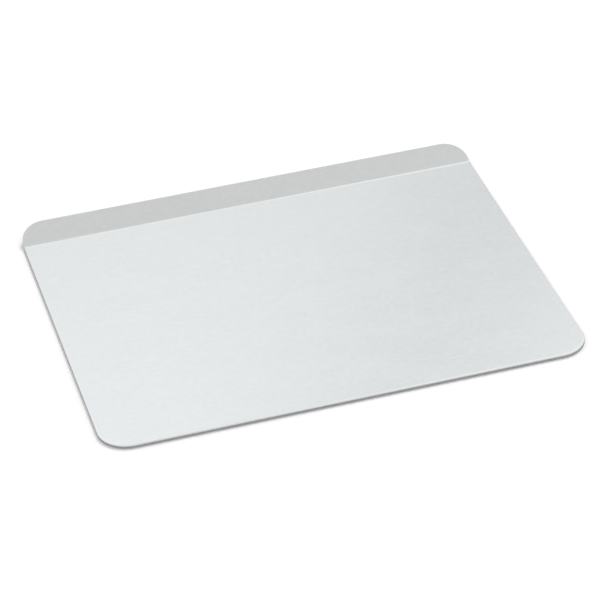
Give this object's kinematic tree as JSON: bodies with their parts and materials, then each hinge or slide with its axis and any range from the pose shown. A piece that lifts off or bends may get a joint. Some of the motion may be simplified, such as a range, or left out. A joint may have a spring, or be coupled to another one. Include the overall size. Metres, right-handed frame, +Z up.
{
  "type": "cookie sheet",
  "caption": "Flat aluminium cookie sheet with rounded corners and a low grip lip bent up along its back edge; its other edges are open, so that baked goods slide off.",
  "frame": {"origin": "on the resting plane, under the middle of the sheet's outline", "axes": "+X along the lip, +Y from the open near edge towards the lip, +Z up out of the baking face"},
  "size_m": [0.4318, 0.3556, 0.013],
  "materials": {
    "natural_aluminium": "natural satin mill finish, sheared and tumbled edges"
  },
  "bodies": {
    "root": {"cookie_sheet": "natural_aluminium"}
  },
  "joints": []
}
